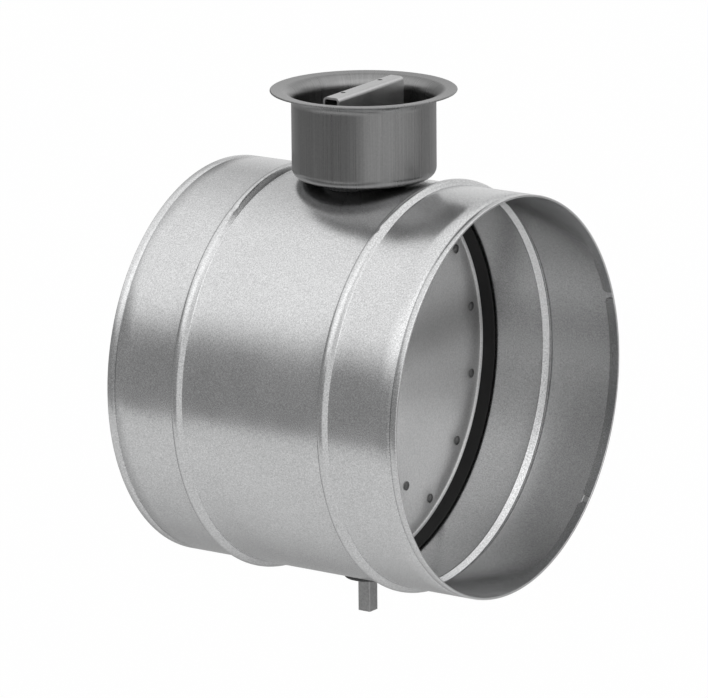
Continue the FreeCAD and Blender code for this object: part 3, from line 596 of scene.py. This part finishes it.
def make_tube():
    """The casing as one fine mesh: its section turned round the duct's axis, with its folded rims."""
    section, on_fold = tube_section()
    whole = [(x, radius, folded) for (x, radius), folded in zip(section, on_fold)]
    whole += [(-x, radius, folded) for x, radius, folded in reversed(whole[1:-1])]
    bearings = tube_bearings()
    vertices = []
    for bearing in bearings:
        vertices += [tube_vertex(x, radius, folded, bearing) for x, radius, folded in whole]
    faces, removed = tube_cells(whole, bearings)
    faces += hole_walls(vertices, removed, whole)
    add_piece("tube", "casing", "casing", "galvanised_sheet", vertices, faces)


def dent_places():
    """The rivets' places on the discs, as y and z."""
    places = []
    for number in range(RIVET_COUNT):
        angle = math.radians(360 / RIVET_COUNT * (number + 0.5))
        places.append((RIVET_CIRCLE_R * math.cos(angle), RIVET_CIRCLE_R * math.sin(angle)))
    for side in (-1, 1):
        for end in (-1, 1):
            places.append((side * SPACER_PLACE[0], end * SPACER_PLACE[1]))
    return places


def disc_reach(bearing):
    """How far the disc goes out at this bearing: less at the windows round the shaft's two bearings."""
    angle = math.radians(bearing)
    if abs(DISC_R * math.cos(angle)) < WINDOW_HALF:
        return WINDOW_HEIGHT / abs(math.sin(angle))
    return DISC_R


def disc_lift(y, z, dents):
    """How far the disc's sheet stands out from its flat: pressed in at the rivets, curled up at its edge."""
    lift = 0.0
    for place in dents:
        apart = math.hypot(y - place[0], z - place[1]) / RIVET_DENT_R
        if apart < RIVET_DENT_REACH:
            lift -= RIVET_DENT_DEPTH * math.exp(-apart * apart)
    curl = (math.hypot(y, z) - DISC_CURL_FROM) / (DISC_R - DISC_CURL_FROM)
    if curl > 0:
        lift += DISC_CURL_RISE * curl * curl
    return lift


def disc_bearings():
    """Stations round the disc, with two close together at each corner of its windows."""
    marks = list(range(360))
    corner = math.degrees(math.asin(WINDOW_HALF / DISC_R))
    for pole in (90, 270):
        for side in (-1, 1):
            marks += [pole + side * corner - WINDOW_CORNER_TURN, pole + side * corner + WINDOW_CORNER_TURN]
    return sorted(marks)


def disc_radii():
    """Rings of points on the disc, closer together at the rivets and closest in the curled edge."""
    radii = [COARSE_ZONE_R * number / COARSE_RINGS for number in range(1, COARSE_RINGS + 1)]
    radii += [COARSE_ZONE_R + FINE_RING * number for number in range(1, FINE_RINGS + 1)]
    radii += [DISC_CURL_FROM - DISC_CURL_LEAD]
    curl_width = DISC_R - DISC_CURL_FROM
    radii += [DISC_CURL_FROM + curl_width * number / CURL_RINGS for number in range(CURL_RINGS + 1)]
    return radii


def disc_vertices(radii, bearings, side):
    """The points of both faces of a disc, each face starting with its middle."""
    dents = dent_places()
    vertices = []
    for x in (DISC_INSIDE, DISC_INSIDE + DISC_SHEET):
        vertices.append((side * x, 0.0, 0.0))
        for bearing in bearings:
            angle = math.radians(bearing)
            shrink = (disc_reach(bearing) - DISC_EVEN_R) / (DISC_R - DISC_EVEN_R)
            for radius in radii:
                if radius > DISC_EVEN_R:
                    radius = DISC_EVEN_R + (radius - DISC_EVEN_R) * shrink
                y = radius * math.cos(angle)
                z = radius * math.sin(angle)
                vertices.append((side * (x + disc_lift(y, z, dents)), y, z))
    return vertices


def disc_faces(count, turns):
    """The faces of a disc with so many points on each of so many spokes."""
    layer = 1 + count * turns
    edge = count - 1
    faces = []
    for number in range(turns):
        here = 1 + number * count
        there = 1 + (number + 1) % turns * count
        for base in (0, layer):
            near = base + here
            far = base + there
            faces.append((base, near, far))
            for step in range(edge):
                faces.append((near + step, near + step + 1, far + step + 1, far + step))
        faces.append((here + edge, there + edge, layer + there + edge, layer + here + edge))
    return faces


def make_disc(name, node, side):
    """One of the blade's two discs, with dents at its rivets and a curled edge."""
    radii = disc_radii()
    bearings = disc_bearings()
    vertices = [in_metres(point) for point in disc_vertices(radii, bearings, side)]
    faces = disc_faces(len(radii), len(bearings))
    add_piece(name, "blade", node, "blade_sheet", vertices, faces)


def rubber_section():
    """The rubber's closed section: a crest with two lips, and the web between the discs."""
    section = []
    for step in range(RUBBER_CREST_STEPS + 1):
        x = RUBBER_LIP_END * (1 - 2 * step / RUBBER_CREST_STEPS)
        section.append((x, math.sqrt(RUBBER_CREST_R ** 2 - x * x)))
    lip = section[0][1] - RUBBER_LIP
    step_x = DISC_INSIDE + DISC_SHEET + RUBBER_STEP
    web_x = DISC_INSIDE - RUBBER_SIDE_GAP
    under = [(RUBBER_LIP_END, lip), (step_x, RUBBER_SEAT_R), (web_x, RUBBER_SEAT_R), (web_x, RUBBER_WEB_R)]
    section += [(-x, radius) for x, radius in under]
    section += under[::-1]
    return section


def make_rubber(name, node, side):
    """Half of the rubber ring round the blade, from one bearing's window to the other's."""
    section = rubber_section()
    count = len(section)
    last = RUBBER_STATIONS - 1
    vertices = []
    for number in range(RUBBER_STATIONS):
        angle = math.radians(RUBBER_END_BEARING * (2 * number / last - 1))
        for x, radius in section:
            vertices.append(in_metres((x, side * radius * math.cos(angle), radius * math.sin(angle))))
    faces = [tuple(range(count)), tuple(range(last * count, len(vertices)))]
    for number in range(last):
        for step in range(count):
            here = number * count + step
            beside = number * count + (step + 1) % count
            faces.append((here, beside, beside + count, here + count))
    add_piece(name, "blade", node, "seal_rubber", vertices, faces)


def finish_nodes():
    """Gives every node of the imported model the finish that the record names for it."""
    for part in frame["record"]["subparts"]:
        node = frame["nodes"][part["node"]]
        for slot in node.material_slots:
            slot.material = MATERIALS[part["material_slot"]]


def view_axes():
    """The photograph's camera as its place and its right, up and back directions."""
    level = math.cos(VIEW_ELEVATION)
    back = Vector((math.sin(VIEW_AZIMUTH) * level, -math.cos(VIEW_AZIMUTH) * level, math.sin(VIEW_ELEVATION)))
    place = back * VIEW_DISTANCE
    metres_per_pixel = VIEW_DISTANCE / FOCAL_PIXELS
    across = (IMAGE_WIDTH / 2 - ORIGIN_PIXEL[0]) * metres_per_pixel
    down = (IMAGE_HEIGHT / 2 - ORIGIN_PIXEL[1]) * metres_per_pixel
    right, up = side_axes(back)
    back = (place - right * across + up * down).normalized()
    right, up = side_axes(back)
    return place, right, up, back


def side_axes(back):
    """The rolled camera's right and up directions for its back direction."""
    side = Vector((0.0, 0.0, 1.0)).cross(back).normalized()
    rise = back.cross(side)
    right = side * math.cos(VIEW_ROLL) + rise * math.sin(VIEW_ROLL)
    up = rise * math.cos(VIEW_ROLL) - side * math.sin(VIEW_ROLL)
    return right, up


def make_camera():
    place, right, up, back = view_axes()
    data = bpy.data.cameras.new("photo_camera")
    data.sensor_fit = "HORIZONTAL"
    data.sensor_width = SENSOR_WIDTH
    data.lens = FOCAL_PIXELS * SENSOR_WIDTH / IMAGE_WIDTH
    data.clip_end = VIEW_REACH
    camera = bpy.data.objects.new("photo_camera", data)
    turn = Matrix((right, up, back)).transposed().to_4x4()
    camera.matrix_world = Matrix.Translation(place) @ turn
    bpy.context.scene.collection.objects.link(camera)
    bpy.context.scene.camera = camera


def direct_view(graph):
    """One where a ray comes straight from the camera, else nought."""
    path = graph.node("ShaderNodeLightPath")
    return graph.math("MAXIMUM", path.outputs["Is Camera Ray"], path.outputs["Is Transmission Ray"])


def to_camera(graph, x, y):
    """How far a place or direction lies towards the camera, measured level."""
    along_x = graph.math("MULTIPLY", x, math.sin(VIEW_AZIMUTH))
    along_y = graph.math("MULTIPLY", y, math.cos(VIEW_AZIMUTH))
    return graph.math("SUBTRACT", along_x, along_y)


def to_right(graph, x, y):
    """How far a place or direction lies towards the camera's right."""
    along_x = graph.math("MULTIPLY", x, math.cos(VIEW_AZIMUTH))
    along_y = graph.math("MULTIPLY", y, math.sin(VIEW_AZIMUTH))
    return graph.math("ADD", along_x, along_y)


def wall_light(graph, forward, rightward):
    """The level of the walls round the object, in steps from bearing to bearing."""
    bearing = graph.math("DEGREES", graph.math("ARCTAN2", rightward, forward))
    level = WALL_LEVEL
    for low, high, change in WALL_STEPS:
        level = graph.math("ADD", level, graph.spread(bearing, low, high, 0.0, change, True))
    return level


def ceiling_light(graph, forward):
    """The level of the ceiling: dimmer far behind the object, brighter towards the camera."""
    dimmest = CEILING_LEVEL * CEILING_BACK
    level = graph.spread(forward, *CEILING_BACK_STEP, dimmest, CEILING_LEVEL, True)
    return graph.math("MULTIPLY", level, graph.spread(forward, *CEILING_FRONT_STEP, 1.0, CEILING_FRONT, True))


def make_world():
    """The studio's light; straight to the camera it is white."""
    world = bpy.data.worlds.new("studio")
    world.use_nodes = True
    graph = Graph(world.node_tree)
    way = graph.node("ShaderNodeTexCoord").outputs["Generated"]
    x, y, z = graph.node("ShaderNodeSeparateXYZ", {0: way}).outputs
    forward = to_camera(graph, x, y)
    walls = wall_light(graph, forward, to_right(graph, x, y))
    low = math.sin(math.radians(CEILING_LOW))
    high = math.sin(math.radians(CEILING_HIGH))
    share = graph.spread(z, low, high, 0.0, 1.0, True)
    mix = {0: share, 2: walls, 3: ceiling_light(graph, forward)}
    light = graph.node("ShaderNodeMix", mix, data_type="FLOAT").outputs[0]
    mix = {0: direct_view(graph), 2: light, 3: 1.0}
    level = graph.node("ShaderNodeMix", mix, data_type="FLOAT").outputs[0]
    background = graph.node("ShaderNodeBackground", {"Color": WHITE, "Strength": level})
    graph.node("ShaderNodeOutputWorld", {"Surface": background.outputs[0]})
    bpy.context.scene.world = world


def floor_material():
    """Near-white floor with a soft shadow and a painted shadow: reflections see it paler in front of the
    object than behind.
    """
    material, graph = new_material("studio_floor")
    position = graph.node("ShaderNodeNewGeometry").outputs["Position"]
    x, y, z = graph.node("ShaderNodeSeparateXYZ", {0: position}).outputs
    forward = to_camera(graph, x, y)
    # Painted shadow: the floor's colour is darker behind the object, where its shadow would fall.
    shade = graph.spread(forward, *FLOOR_PAINTED_SHADE_STEP, FLOOR_PAINTED_SHADE_BEHIND, FLOOR_PAINTED_SHADE_FRONT, True)
    diffuse = graph.node("ShaderNodeBsdfDiffuse", {"Color": graph.grey(shade)})
    white = graph.node("ShaderNodeEmission", {"Color": WHITE, "Strength": FLOOR_GLOW})
    share = graph.math("MULTIPLY", direct_view(graph), FLOOR_GLOW_SHARE)
    mix = graph.node("ShaderNodeMixShader", {0: share, 1: diffuse.outputs[0], 2: white.outputs[0]})
    graph.node("ShaderNodeOutputMaterial", {"Surface": mix.outputs[0]})
    return material


def make_floor():
    """A round floor that reaches far behind the object and less far in front of it."""
    sine = math.sin(VIEW_AZIMUTH)
    cosine = math.cos(VIEW_AZIMUTH)
    x = FLOOR_RIGHT * cosine - FLOOR_BEHIND * sine
    y = FLOOR_RIGHT * sine + FLOOR_BEHIND * cosine
    bpy.ops.mesh.primitive_circle_add(
        vertices=FLOOR_CORNERS, radius=FLOOR_R, fill_type="NGON", location=(x, y, FLOOR_Z)
    )
    floor = bpy.context.object
    floor.name = "studio_floor"
    floor.data.materials.append(floor_material())


MATERIALS = make_materials()
finish_nodes()
make_tube()
make_disc("disc_front", "blade_front_disc", 1)
make_disc("disc_rear", "blade_rear_disc", -1)
make_rubber("rubber_right", "gasket_right", 1)
make_rubber("rubber_left", "gasket_left", -1)
make_camera()
make_world()
make_floor()
bpy.context.scene.view_settings.view_transform = "Standard"
